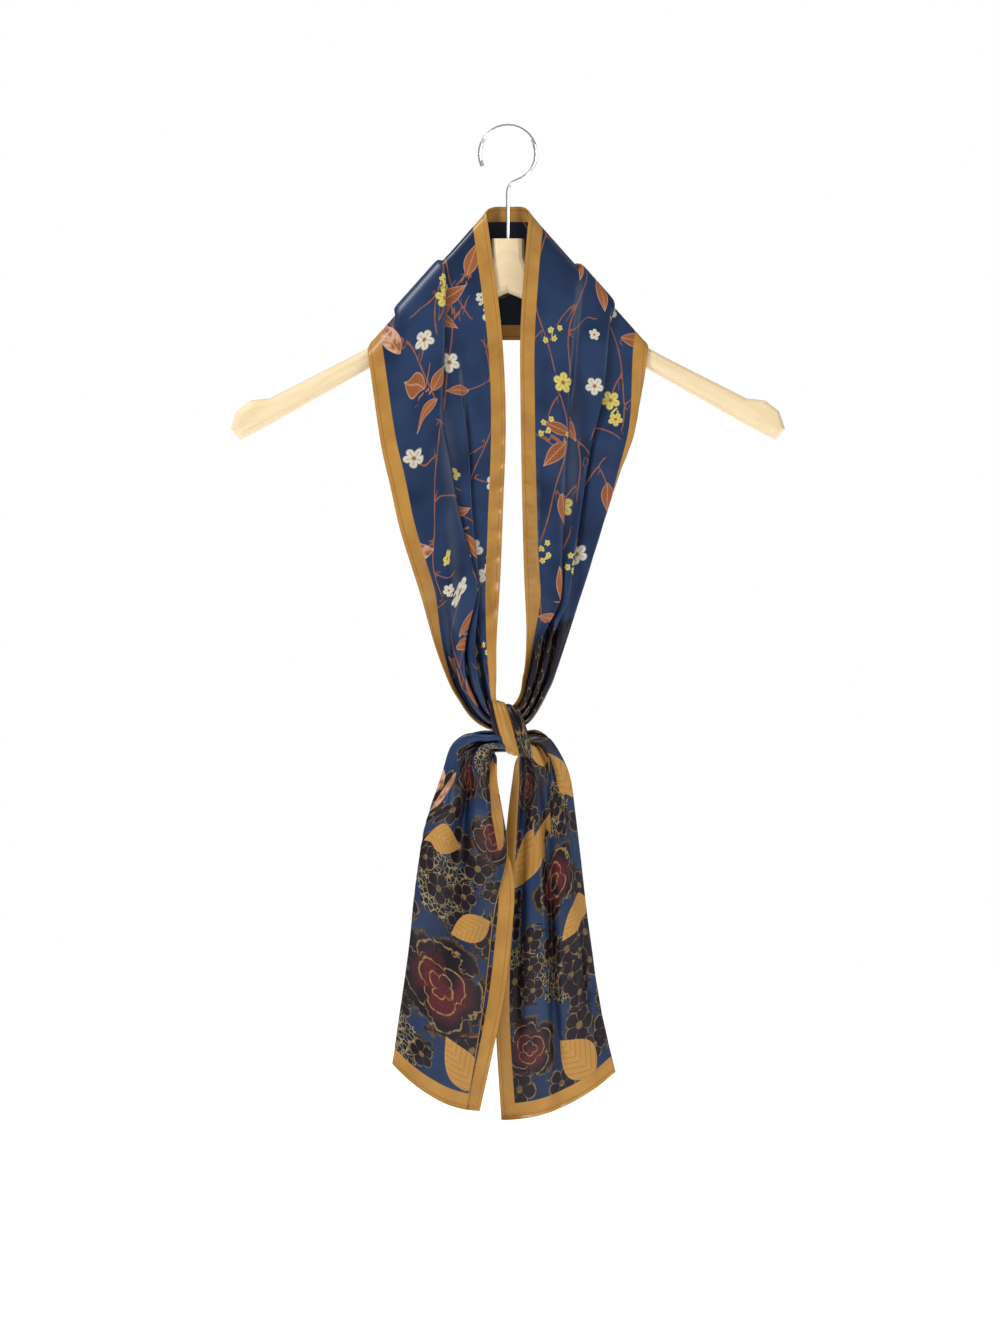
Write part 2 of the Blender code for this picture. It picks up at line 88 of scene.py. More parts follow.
BACK_FOLDS = (
    (0, 38, 0, 38, 0, 10, -65), (1, 10.1, 0, 10.1, 0, 1, 0),
    (0, 25, 0, 25, 0, 11, 80), (1, 1, 0, 1, 0, 4, -10),
    (-1, 10.1, 0, 10.1, 0, 12, -84), (0, 22, 0, 22, 0, 12, 84),
    (-1, 1, 0, 1, 0, 4, 0), (0, 14, 0, 14, 0, 11, -80),
    (0, 7, 0, 7, 0, 11, 70), (0, 4.7, 0, 4.7, 0, 9, 30),
)
RIGHT_BACK_FOLDS = (
    (1, 1, 0, 1, 0, 10, 90), (0, 35.1, 0, 35.1, 0, 5, 10),
    (1, 10.1, 0, 10.1, 0, 12, -80), (0, 25, 0, 25, 0, 12, 80),
    (1, 1, 0, 1, 0, 5, 0), (-1, 10.1, 0, 10.1, 0, 11, -82),
    (0, 22, 0, 22, 0, 11, 80), (-1, 1, 0, 1, 0, 4, 0),
    (0, 14, 0, 14, 0, 9, -74), (0, 13.6, 0, 13.6, 0, 10, 34),
)
RIGHT_TOP_FOLDS = (
    (1, 1, 0, 1, -14, 10, 90), (0, 49.1, 0, 43.1, -14, 5, 10),
    (1, 22, 0, 28, -14, 12, -80), (0, 25, 0, 22, -14, 12, 80),
    (1, 1, 0, 20, -14, 5, 0), (-1, 1, 0, 1, -14, 11, -82),
    (0, 16, 0, 8, 14, 11, 80), (-1, 1, 0, 1, -14, 4, 0),
    (0, 8, 0, 4, 14, 9, -74), (0, 8.8, 4, 4.8, 14, 10, 34),
)
RIGHT_FOLDS = (
    (1, 14, 0, 14, -8, 10, 90), (0, 46.1, 0, 32.1, -8, 5, 10),
    (1, 16, 0, 28, -14, 12, -80), (0, 21, 0, 22, -14, 12, 80),
    (1, 1, 0, 18, -14, 5, 0), (-1, 1, 0, 1, -14, 11, -82),
    (0, 16, 0, 8, 14, 11, 80), (-1, 1, 0, 1, -14, 4, 0),
    (0, 8, 0, 4, 14, 9, -74), (0, 8.8, 4, 4.8, 14, 10, 34),
)
TAIL_LEFT_FOLDS = (
    (1, 78, 0, 46, 0, 13, 90), (0, 3, 0, 4, 0, 14, -90),
    (0, 7, 7, 11, 66, 15, 90), (0, 9, -3, 11, -14, 6, 0),
    (0, 7, -7, 11, -72, 15, -90), (0, 6, 6, 11, 72, 15, 90),
    (0, 9, -2, 11, -8, 6, 0), (0, 5, -5, 10, -68, 15, -90),
    (0, 4, 4, 8, 60, 14, 90), (-1, 9, 2, 11, -6, 12, -90),
)
TAIL_RIGHT_FOLDS = (
    (1, 58, 0, 50, 0, 13, 90), (0, 4, 0, 4, 0, 14, -90),
    (0, 12, 5, 10, 64, 15, 90), (0, 13, -3, 11, -10, 6, 0),
    (0, 8, -6, 10, -68, 15, -90), (0, 8, 5, 10, 68, 15, 90),
    (0, 12, -2, 11, -8, 6, 0), (0, 8, -4, 9, -64, 15, -90),
    (0, 6, 3, 8, 56, 14, 90), (0, 3.9, 2, 9.9, -10, 12, -90),
)
LAY, OPEN, PART, TIGHT = 0, 1, 3, 5
EASING = np.array([1, 2, 3, 4, 3, 2, 1]) / 16
ROWS_PER_STEP = 3
LEFT_TOP_ROWS = 5            # rows over which the folds of the shoulder turn into the strand's
RIGHT_TOP_ROWS = 12

# outer_x, outer_z, inner_x, inner_z, back_y, bow
LEFT_STRAND = (
    (-97, -239.4, -5.2, -150, -7.2, 0), (-89.2, -274.4, -1.5, -222, -7.2, 0),
    (-81.3, -309.3, -3.6, -288, -7.4, 0), (-66.3, -355.7, -6, -348, -7.8, 0),
    (-55.5, -394.4, -8.7, -390.5, -8, 0), (-44.3, -424, -8.8, -418, -8, 0),
    (-37.4, -436, -9.2, -426, -8, 0), (-30.5, -446.5, -9, -432.5, -8, 0),
    (-24, -453, -7.6, -437.5, -8, 0), (-16.5, -457.4, -4.6, -441, -8, 0),
    (-8, -460, -0.6, -443.4, -8, 0),
)
RIGHT_STRAND = (
    (97.6, -232, 9.6, -150, -7.2, 0), (86, -264, 9.6, -215, -7.2, 0),
    (73.7, -301.7, 10.8, -284, -7.4, 0), (58.8, -350, 12.3, -342, -7.8, 0),
    (45.6, -389, 14.2, -384, -8, 0), (34.8, -420, 13, -410, -8.4, 0),
    (30.2, -430, 11.2, -419, -9, 0), (26, -438.5, 10, -427, -9.6, 0),
    (21.6, -446, 7.4, -433, -9.6, 0), (16.4, -452.4, 3.6, -438, -9, 0),
    (9, -457.4, -0.6, -442, -8, 0),
)
TAIL_LEFT = (
    (-0.8, -460.2, -0.8, -478.2, -8, 0), (-12.4, -460.2, -12.4, -478.2, -8, 0),
    (-23, -460.4, -10.4, -479, -8.4, 0), (-35, -463.4, -8.2, -483, -9.4, 0),
    (-44.2, -472.4, -8, -489, -10.4, 0), (-50, -491, -7.4, -499, -11.5, 0),
    (-57, -511, -4.6, -513, -12.5, 0), (-66.2, -536, -0.6, -536, -13, 0),
    (-71.2, -577, 5, -580, -13, 0), (-75.4, -620, 2.4, -616, -13, 1),
    (-82, -668, -3.8, -667, -13, 4), (-88.4, -712, -21.3, -748.6, -13, 9),
)
TAIL_RIGHT = (
    (0.8, -460.2, 0.8, -478.2, -8, 0), (14, -460.2, 13.2, -478.2, -8, 0),
    (22, -459.6, 12, -479.4, -7, 0), (31, -464.6, 8.5, -482, -5, 0),
    (39, -475, 5.5, -487.4, -2, 0), (47.8, -494.6, 3.4, -499.6, 1.5, 0),
    (51.6, -519.8, 0.6, -520, 3.5, 0), (56.4, -558.6, -3, -556, 4, 0),
    (62, -606, -7, -604, 4, 0), (71, -668, -10, -668, 4, 3),
    (82.8, -720, -5, -757, 4, 10),
)


# ---- camera, lights and floor -----------------------------
VIEW_CENTRE = (-0.006, -0.411)
VIEW_WIDTH = 0.76
VIEW_DISTANCE = 3.2
VIEW_PLANE = -0.012          # y of the plane whose size the view's width states
SENSOR = 36.0
AMBIENT = 0.33               # light from all round; the backdrop itself shows white


def linked(name, data):
    made = bpy.data.objects.new(name, data)
    bpy.context.collection.objects.link(made)
    return made


def add_camera():
    data = bpy.data.cameras.new("camera")
    data.sensor_fit = 'HORIZONTAL'
    data.sensor_width = SENSOR
    data.lens = SENSOR * VIEW_DISTANCE / VIEW_WIDTH
    data.clip_end = 50.0
    camera = linked("camera", data)
    camera.location = (VIEW_CENTRE[0], VIEW_PLANE - VIEW_DISTANCE, VIEW_CENTRE[1])
    camera.rotation_euler = (math.radians(90.0), 0.0, 0.0)
    bpy.context.scene.camera = camera


def add_light(name, place, aim, size, watts):
    data = bpy.data.lights.new(name, 'AREA')
    data.size = size
    data.energy = watts
    light = linked(name, data)
    light.location = place
    heading = np.array(aim) - np.array(place)
    flat = math.hypot(heading[0], heading[1])
    light.rotation_euler = (math.atan2(flat, -heading[2]), 0.0,
                            math.atan2(heading[1], heading[0]) - math.radians(90.0))


def add_surroundings():
    add_light("key", (-1.5, -1.0, 1.5), (0.0, 0.0, -0.4), 0.6, 60.0)
    add_light("fill", (1.8, -1.2, 0.1), (0.0, 0.0, -0.4), 1.0, 14.0)
    world = bpy.data.worlds.new("studio")
    world.use_nodes = True
    tree = world.node_tree
    backdrop = tree.nodes["Background"]
    backdrop.inputs["Color"].default_value = (1.0, 1.0, 1.0, 1.0)
    seen = tree.nodes.new("ShaderNodeLightPath").outputs["Is Camera Ray"]
    level = tree.nodes.new("ShaderNodeMath")
    level.operation = 'MULTIPLY_ADD'
    tree.links.new(seen, level.inputs[0])
    level.inputs[1].default_value = 1.0 - AMBIENT
    level.inputs[2].default_value = AMBIENT
    tree.links.new(level.outputs[0], backdrop.inputs["Strength"])
    bpy.context.scene.world = world
    bpy.context.scene.view_settings.view_transform = 'Standard'
    mesh = bpy.data.meshes.new("floor")
    reach = 3.0
    height = -0.86
    mesh.from_pydata([(-reach, -reach, height), (reach, -reach, height),
                      (reach, reach, height), (-reach, reach, height)], [], [(0, 1, 2, 3)])
    floor = linked("floor", mesh)
    paint = bpy.data.materials.new("floor")
    paint.use_nodes = True
    shader = paint.node_tree.nodes["Principled BSDF"]
    shader.inputs["Base Color"].default_value = (0.94, 0.94, 0.93, 1.0)
    shader.inputs["Roughness"].default_value = 0.8
    shader.inputs["Emission Color"].default_value = (1.0, 1.0, 1.0, 1.0)
    shader.inputs["Emission Strength"].default_value = 0.62
    mesh.materials.append(paint)


# ---- the cloth's cross-section ----------------------------
FINE = 0.5                   # step of the fold line's points
ROUNDING = 1.9               # how softly its corners are rounded
PLACES = np.arange(0.0, CLOTH_WIDTH + 0.5 * FINE, FINE)


def mix(a, b, share):
    return np.asarray(a, float) * (1.0 - share) + np.asarray(b, float) * share


def smooth_rows(table, per_step):
    """Rows between the table's own, on a Catmull-Rom curve through them."""
    keys = np.array(table, float)
    ends = np.concatenate([2 * keys[:1] - keys[1:2], keys, 2 * keys[-1:] - keys[-2:-1]])
    rows = []
    for i in range(len(keys) - 1):
        before, start, stop, after = ends[i:i + 4]
        for k in range(per_step):
            t = k / per_step
            rows.append(0.5 * (2 * start + (stop - before) * t
                               + (2 * before - 5 * start + 4 * stop - after) * t ** 2
                               + (3 * start - before - 3 * stop + after) * t ** 3))
    rows.append(keys[-1])
    return np.array(rows)


def drawn(legs, degrees):
    """Points (across, forward) of the strip's middle line at PLACES, from legs and fold edges."""
    slopes = np.radians(degrees)
    points = [np.zeros(2)]
    cloth = [0.0]
    for i, (leg, slope) in enumerate(zip(legs, slopes)):
        points.append(points[-1] + leg * np.array([math.cos(slope), math.sin(slope)]))
        cloth.append(cloth[-1] + leg)
        if i + 1 < len(legs):
            edge = 0.5 * (slope + slopes[i + 1])
            points.append(points[-1] + TURN * np.array([math.cos(edge), math.sin(edge)]))
            cloth.append(cloth[-1] + TURN)
    points = np.array(points)
    cloth = np.array(cloth) * CLOTH_WIDTH / cloth[-1]
    return np.stack([np.interp(PLACES, cloth, points[:, k]) for k in range(2)], axis=1)


def fold_line(folds, gather):
    """The middle line at PLACES: spread at 0, half together at 1 and gathered at 2."""
    table = np.array(folds, float)
    early = min(gather, 1.0)
    late = max(gather - 1.0, 0.0)
    legs = mix(table[:, OPEN], table[:, PART], early)
    laid = np.clip((legs - 1.0) / 3.0, 0.0, 1.0)
    degrees = 180.0 * table[:, LAY] * laid + mix(table[:, OPEN + 1], table[:, PART + 1], early)
    legs = legs * (CLOTH_WIDTH - TURN * (len(folds) - 1)) / legs.sum()
    line = drawn(legs, degrees)
    if late > 0.0:       # gathered, the rest is taken up in crumples too small to see
        line = mix(line, drawn(table[:, TIGHT], table[:, TIGHT + 1]), late)
    return line


def gather_for(folds, width):
    """The least gather at which the fold line isn't wider than the width."""
    low, high = 0.0, 2.0
    for _ in range(30):
        middle = 0.5 * (low + high)
        if np.ptp(fold_line(folds, middle)[:, 0]) > width:
            low = middle
        else:
            high = middle
    return high


def eased(values):
    """Values averaged with those of the rows beside them."""
    reach = len(EASING) // 2
    padded = np.concatenate([[values[0]] * reach, values, [values[-1]] * reach])
    return np.convolve(padded, EASING, mode="valid")


class Shoulder:
    """The roll of cloth over one side: a half turn round a slanting axis."""

    def __init__(self, side):
        self.start = np.array([side * FOLD_START[0], FOLD_START[1]])
        along = np.array([side * FOLD_END[0], FOLD_END[1]]) - self.start
        self.along = along / np.linalg.norm(along)
        self.out = np.array([side * abs(self.along[1]), abs(self.along[0])])
        self.turn = math.pi * FOLD_RADIUS

    def across(self, point):
        return float((np.asarray(point) - self.start) @ self.out)

    def unfolded(self, point):
        away = self.across(point)
        return np.asarray(point) + (self.turn - 2 * away) * self.out

    def placed(self, point, depth):
        """The flat strip's point, wrapped over the shoulder, depth mm out from the hanger."""
        away = self.across(point)
        reach = FOLD_RADIUS + depth
        if away <= 0:
            where, forward = away, reach
        elif away < self.turn:
            angle = away / FOLD_RADIUS
            where, forward = reach * math.sin(angle), reach * math.cos(angle)
        else:
            where, forward = self.turn - away, -reach
        flat = np.asarray(point) + (where - away) * self.out
        return np.array([flat[0], -forward, flat[1]])


def shoulder_rows(side):
    """Outer and inner ends of the rows from the middle of the back to the strand's first."""
    roll = Shoulder(side)
    outer = roll.unfolded((0.0, PANEL_TOP - PANEL_WIDTH))
    inner = roll.unfolded((0.0, PANEL_TOP))
    run = roll.unfolded((side * 10.0, PANEL_TOP)) - inner
    run /= np.linalg.norm(run)
    fall = float(run @ roll.out)
    behind = [(roll.turn - roll.across(end)) / fall for end in (outer, inner)]
    front = [(0.0 - roll.across(end)) / fall for end in (outer, inner)]
    rows = []
    for share in np.linspace(0.0, 1.0, BACK_ROWS)[:-1]:
        rows.append([outer + run * behind[0] * share, inner + run * behind[1] * share])
    for share in np.linspace(0.0, 1.0, ROLL_ROWS):
        stops = mix(behind, front, share)
        rows.append([outer + run * stops[0], inner + run * stops[1]])
    return roll, rows


# places across the cloth where the mesh has its lines: close at the hems, even between
HEM_LINES = (0.0, 0.5, 1.2, 1.9, 2.8, 4.0)
ACROSS = np.concatenate([HEM_LINES, np.linspace(5.6, CLOTH_WIDTH - 5.6, 82),
                         CLOTH_WIDTH - np.array(HEM_LINES[::-1])])


def gaussian(width, step):
    reach = int(math.ceil(3 * width / step))
    taps = np.exp(-0.5 * (np.arange(-reach, reach + 1) * step / width) ** 2)
    return taps / taps.sum()


def smoothed(points, width, step):
    """Points along a line (first axis) averaged with their neighbours, both ends kept."""
    taps = gaussian(width, step)
    reach = len(taps) // 2
    before = 2 * points[:1] - points[reach:0:-1]
    after = 2 * points[-1:] - points[-2:-reach - 2:-1]
    padded = np.concatenate([before, points, after])
    flat = padded.reshape(len(padded), -1)
    done = np.stack([np.convolve(flat[:, k], taps, mode="valid")
                     for k in range(flat.shape[1])], axis=1)
    return done.reshape(points.shape)


def strip_lines(rows, placed):
    """Middle lines in space at ACROSS, for rows of (outer, inner, back_y, bow, folds)."""
    middles = [0.5 * (np.asarray(outer) + np.asarray(inner)) for outer, inner, *_ in rows]
    widths = []
    for i, (outer, inner, *_) in enumerate(rows):
        run = middles[min(i + 1, len(rows) - 1)] - middles[max(i - 1, 0)]
        span = inner - outer
        widths.append(abs(span[0] * run[1] - span[1] * run[0]) / np.linalg.norm(run))
    gathers = eased([gather_for(row[4], width) for row, width in zip(rows, widths)])
    lines = []
    for (outer, inner, back_y, bow, folds), width, gather in zip(rows, widths, gathers):
        line = fold_line(folds, gather)
        line -= line.min(axis=0)
        line[:, 0] *= width / line[:, 0].max()
        rounded = smoothed(line, ROUNDING, FINE)
        sampled = np.stack([np.interp(ACROSS, PLACES, rounded[:, k]) for k in range(2)],
                           axis=1)
        spots = []
        for across, forward in sampled:
            share = across / width
            sag = np.array([0.0, bow * 4 * share * (1 - share)])
            spots.append(placed(outer + (inner - outer) * share - sag, forward, back_y))
        lines.append(spots)
    return np.array(lines)


def strand_lines(side, table, back_folds, top_folds, folds, top_rows):
    roll, ends = shoulder_rows(side)
    start = (*ends[-1][0], *ends[-1][1], -FOLD_RADIUS, 0.0)
    rows = []
    for i, (outer, inner) in enumerate(ends[:-1]):
        blended = mix(back_folds, top_folds, i / (len(ends) - 1))
        rows.append((outer, inner, -FOLD_RADIUS, 0.0, blended))
    for i, row in enumerate(smooth_rows((start,) + table, ROWS_PER_STEP)):
        blended = mix(top_folds, folds, min(i / top_rows, 1.0))
        rows.append((row[:2], row[2:4], row[4], row[5], blended))
    return strip_lines(rows, lambda point, forward, back_y:
                       roll.placed(point, forward - FOLD_RADIUS - back_y))


def tail_lines(table, folds):
    rows = [(row[:2], row[2:4], row[4], row[5], folds)
            for row in smooth_rows(table, ROWS_PER_STEP)]
    return strip_lines(rows, lambda point, forward, back_y:
                       np.array([point[0], back_y - forward, point[1]]))


def fine_grid(lines):
    """More rows between the given ones, softened along the strip."""
    grid = smooth_rows(lines, SUB_ROWS)
    return smoothed(grid, SOFTENING, 1.0)


# ---- creases: x0, z0, x1, z1, half width, height of a soft ridge (+) or trough (-) ----
LOOP_CREASES = (
    (-40, -190, -20, -350, 10, -3.6), (-58, -160, -50, -310, 8, 2.8),
    (-30, -250, -20, -425, 6, 3), (-66, -310, -30, -430, 5, -2.8),
    (-84, -190, -70, -300, 8, 2), (-22, -150, -30, -250, 7, 2),
    (-50, -290, -40, -400, 6, 2.2), (44, -170, 34, -330, 9, 3.2),
    (30, -230, 22, -400, 6, -3.2), (62, -190, 50, -340, 7, -2.7),
    (52, -320, 28, -425, 5, 2.8), (80, -210, 66, -300, 7, 2.2), (24, -140, 34, -240, 7, -2),
)
LEFT_TAIL_CREASES = (
    (-30, -480, -44, -640, 7, -4.8), (-18, -480, -14, -600, 6, 4.4),
    (-40, -500, -62, -620, 8, 4), (-26, -560, -40, -730, 11, 4.6),
    (-60, -590, -70, -705, 8, -3.8), (-6, -540, -18, -690, 7, -3.4),
)
RIGHT_TAIL_CREASES = (
    (26, -475, 30, -600, 7, -4.8), (36, -480, 46, -620, 7, 4.2),
    (22, -560, 34, -735, 11, 4.4), (50, -600, 66, -705, 8, -3.8),
)


def pressed(grid, creases):
    """All the layers moved forward or back together along soft creases."""
    x, z = grid[..., 0], grid[..., 2]
    moved = grid.copy()
    for x0, z0, x1, z1, half, height in creases:
        run = np.array([x1 - x0, z1 - z0])
        length = np.linalg.norm(run)
        run = run / length
        along = (x - x0) * run[0] + (z - z0) * run[1]
        away = (x - x0) * run[1] - (z - z0) * run[0]
        t = np.clip(along / length, 0.0, 1.0)
        taper = np.sin(math.pi * t) ** 0.7
        moved[..., 1] -= height * taper * np.exp(-(away / half) ** 2) * (grid[..., 1] < 0)
    return moved


KNOT_SQUEEZE = 0.15          # share of the height that is pressed away
KNOT_REACH = (17.0, 34.0)    # half width and half height of what is drawn together
BUNDLE_HEIGHT = 19.5         # half the height of the rounded bundle
BUNDLE_FILL = 1.35           # how much deeper it is at its middle


def drawn_together(grid):
    """The cloth in the knot and beside it, pressed into one rounded bundle."""
    x = (grid[..., 0] - KNOT_MIDDLE[0]) / KNOT_REACH[0]
    y = grid[..., 1] - KNOT_MIDDLE[1]
    z = grid[..., 2] - KNOT_MIDDLE[2]
    share = np.exp(-x ** 4) * np.exp(-(z / KNOT_REACH[1]) ** 4)
    z = z * (1.0 - KNOT_SQUEEZE * share)
    roundness = BUNDLE_FILL * np.sqrt(np.clip(1.0 - (z / BUNDLE_HEIGHT) ** 2, 0.12, 1.0))
    moved = grid.copy()
    moved[..., 1] = KNOT_MIDDLE[1] + y * (1.0 + share * (roundness - 1.0))
    moved[..., 2] = KNOT_MIDDLE[2] + z
    return moved


# ---- print: motifs on the flat strip ----------------------
MIDDLE_REACH = (-450.0, 338.0)
random.seed(11)


class Motifs:
    """Places of one kind of motif, and each mesh point's coordinates in the nearest one."""

    def __init__(self):
        self.rows = []

    def add(self, along, across, size, turn, kind):
        self.rows.append((along, across, size, turn, kind))

    def local(self, cloth):
        """(x, y, kind) in the nearest motif's frame, its size as 1, and the distance to it."""
        best = np.full(cloth.shape[:-1], 1e3)
        found = np.zeros(cloth.shape[:-1] + (3,))
        for along, across, size, turn, kind in self.rows:
            dx = (cloth[..., 0] - along) / size
            dy = (cloth[..., 1] - across) / size
            away = np.hypot(dx, dy)
            nearer = away < best
            best[nearer] = away[nearer]
            c, s = math.cos(turn), math.sin(turn)
            for k, value in enumerate((dx * c + dy * s, dy * c - dx * s, dx * 0 + kind)):
                found[..., k][nearer] = value[nearer]
        return found, best


blossoms, leaves, blooms, laces = Motifs(), Motifs(), Motifs(), Motifs()
stems = []                   # polylines on the flat strip
MOTIF_GAP = 1.12             # least distance between two motifs, in their sizes' sum
STEM_GAP = 4.5               # twigs that come nearer to another stem are left out
TWIG_STEPS = 7
BUD, BUD_STEP, BUD_AWAY = 2.6, 4.6, 3.4      # radius, step along the spray and out from it


def is_free(along, across, size, families):
    """No motif of the families lies within reach of the place."""
    return all(math.hypot(row[0] - along, row[1] - across) > (row[2] + size) * MOTIF_GAP
               for family in families for row in family.rows)


def is_clear(points):
    """No stem lies near the points."""
    return all(math.hypot(spot[0] - point[0], spot[1] - point[1]) > STEM_GAP
               for line in stems for spot in line for point in points)


def add_twig(along, across, heading, length, bend):
    """One slender curved twig; returns its tip and the way it points."""
    points = [(along, across)]
    for k in range(TWIG_STEPS):
        heading += bend / TWIG_STEPS
        along += math.cos(heading) * length / TWIG_STEPS
        across += math.sin(heading) * length / TWIG_STEPS
        points.append((along, across))
    if is_clear(points[3:]):
        stems.append(points)
    return along, across, heading


def add_spray(along, across, heading):
    """A short spray of small yellow buds."""
    for k in range(4):
        turn = heading + (0.9 if k % 2 else -0.9)
        spot = (along + math.cos(heading) * BUD_STEP * k + math.cos(turn) * BUD_AWAY,
                across + math.sin(heading) * BUD_STEP * k + math.sin(turn) * BUD_AWAY)
        if is_free(*spot, BUD, (blossoms,)):
            blossoms.add(*spot, BUD, 1.7 * k, 1.0)


# along, across and heading of the sprays of large copper leaves
COPPER_SPRAYS = (
    (-258, 84, 2.5), (190, 108, 0.6), (-372, 34, 0.5), (262, 64, 3.9),
    (-178, 44, 5.6), (130, 52, 2.2), (-96, 96, 0.9), (330, 118, 2.9),
)
# turn from the heading, half length, and where along the heading it starts
SPRAY_LEAVES = ((-1.25, 10.5, -5), (0.15, 14, 8), (1.3, 11.5, 2))
SPRAY_GAP = 1.1              # from there to the leaf's middle, in half lengths
# place across and phase of the long wavy twigs
LANES = ((30.0, 0.3), (66.0, 2.2), (98.0, 4.4), (127.0, 5.9))
LANE_STEP = 6.0


def lay_out_middle():
    """Twigs with small blossoms, buds and copper leaves."""
    for along, across, heading in COPPER_SPRAYS:
        for turn, size, start in SPRAY_LEAVES:
            away = size * SPRAY_GAP
            leaves.add(along + math.cos(heading) * start + math.cos(heading + turn) * away,
                       across + math.sin(heading) * start + math.sin(heading + turn) * away,
                       size, heading + turn, 0.0)
    for lane, (base, phase) in enumerate(LANES):
        spot = MIDDLE_REACH[0]
        points = []
        while spot < MIDDLE_REACH[1]:
            points.append((spot, base + 14.0 * math.sin(spot / 37.0 + phase)
                           + 1.4 * math.sin(spot / 11.0 + phase)))
            spot += LANE_STEP
        first = 0
        while first < len(points):       # the twigs start and stop
            last = first + random.randint(12, 20)
            stems.append(points[first:last])
            first = last + random.randint(2, 4)
        side = 1 if lane % 2 else -1
        for i in range(2, len(points) - 2, 4):
            along, across = points[i]
            side = -side
            heading = side * random.uniform(0.5, 1.1)
            if random.random() < 0.45:
                heading = math.pi - heading
            tip = add_twig(along, across, heading, random.uniform(15.0, 30.0), -side * 0.6)
            roll = random.random()
            turn = random.uniform(0.0, 6.28)
            if roll < 0.5:
                size = random.uniform(7.2, 9.2)
                kind = 0.0 if random.random() < 0.56 else 1.0
                if is_free(tip[0], tip[1], size, (blossoms, leaves)):
                    blossoms.add(tip[0], tip[1], size, turn, kind)
                size = random.uniform(4.4, 6.0)
                second = (tip[0] + random.uniform(11.0, 15.0), tip[1] + random.uniform(-9.0, 9.0))
                if is_free(*second, size, (blossoms, leaves)):
                    blossoms.add(*second, size, turn + 1.0, kind)
            elif roll < 0.6:
                add_spray(*tip)
            elif roll < 0.86:
                size = random.uniform(10.0, 14.0)
                if is_free(tip[0], tip[1], size * 0.7, (blossoms, leaves)):
                    leaves.add(tip[0], tip[1], size, tip[2], 0.0)
            else:
                size = random.uniform(17.0, 23.0)
                if is_free(tip[0], tip[1], size, (blossoms, leaves)):
                    leaves.add(tip[0], tip[1], size, tip[2], 1.0)


# by side, -1 the left tail: distance from the cloth's end, across from its outer edge, radius or
# half length, and a leaf's turn
PEONIES = {
    -1: ((82, 106, 42), (206, 126, 22), (234, 86, 20)),
    1: ((166, 86, 30), (52, 122, 26), (252, 122, 19)),
}
LACES = {
    -1: ((152, 96, 25), (136, 138, 15), (24, 78, 18), (262, 108, 17)),
    1: ((98, 82, 26), (112, 128, 22), (218, 76, 20), (300, 96, 30),
        (326, 40, 22), (372, 92, 16), (388, 44, 17)),
}
GOLDEN_LEAVES = {
    -1: ((32, 128, 22, 0.7), (134, 122, 17, 2.2), (254, 134, 17, 1.2),
         (182, 84, 17, 5)),
    1: ((236, 60, 22, 2.8), (30, 84, 22, 2.6), (196, 122, 28, 0.8), (206, 100, 20, 3.9),
        (128, 66, 18, 1), (268, 86, 20, 5.6)),
}
PINK_LEAVES = {
    -1: ((244, 44, 17, 0.35), (226, 58, 15, 2.6)),
    1: (),
}
DARK_REACH = {-1: 285.0, 1: 400.0}
DARK_STEP = 21.0


def lay_out_end(side):
    """Large dark flowers with gold lines, from the middle's last twigs to the end border."""
    def place(back, across):
        return side * (0.5 * CLOTH_LENGTH - back), across
    for back, across, size in PEONIES[side]:
        blooms.add(*place(back, across), size, back, 1.0)
    for back, across, size in LACES[side]:
        laces.add(*place(back, across), size, back, 0.0)
    for back, across, size, turn in GOLDEN_LEAVES[side]:
        leaves.add(*place(back, across), size, turn * side, 2.0)
    for back, across, size, turn in PINK_LEAVES[side]:
        leaves.add(*place(back, across), size, turn * side, 1.0)
    rows = int(DARK_REACH[side] / DARK_STEP)
    for i in range(1, rows):
        for k in range(8):
            back = (i + 0.5 * (k % 2) + random.uniform(-0.28, 0.28)) * DARK_STEP
            across = (k + 0.5 + random.uniform(-0.3, 0.3)) * DARK_STEP
            size = random.uniform(9.5, 15.0)
            keep = 0.5 + 0.5 * math.sin(back / 23.0 + side) * math.sin(across / 27.0 + 1.3)
            if random.random() > keep + 0.42:
                continue
            spot = place(back, across)
            if all(math.hypot(row[0] - spot[0], row[1] - spot[1]) > row[2] * 0.9 + size * 0.5
                   for row in blooms.rows):
                blooms.add(*spot, size, random.uniform(0.0, 6.28), 0.0)


lay_out_middle()
lay_out_end(-1)
lay_out_end(1)


STEM_REACH = 12.0            # the distance to a twig is measured up to here


def stem_distances(cloth):
    """Signed distance to the nearest twig, and the plain distance."""
    best = np.full(cloth.shape[:-1], 1e3)
    signed = np.full(cloth.shape[:-1], 1e3)
    for points in stems:
        points = np.array(points)
        near = ((cloth[..., 0] > points[:, 0].min() - STEM_REACH)
                & (cloth[..., 0] < points[:, 0].max() + STEM_REACH))
        spots = cloth[near]
        if not len(spots):
            continue
        low, sign = np.full(len(spots), 1e3), np.zeros(len(spots))
        for start, stop in zip(points[:-1], points[1:]):
            run = stop - start
            length = np.linalg.norm(run)
            run = run / length
            along = np.clip((spots - start) @ run, 0.0, length)
            gap = spots - start - along[:, None] * run
            away = np.linalg.norm(gap, axis=1)
            turn = run[0] * gap[:, 1] - run[1] * gap[:, 0]
            closer = away < low
            low[closer] = away[closer]
            sign[closer] = np.where(turn[closer] >= 0, 1.0, -1.0)
        held = best[near]
        side = signed[near]
        closer = low < held
        held[closer] = low[closer]
        side[closer] = (low * sign)[closer]
        best[near] = held
        signed[near] = side
    return signed, best


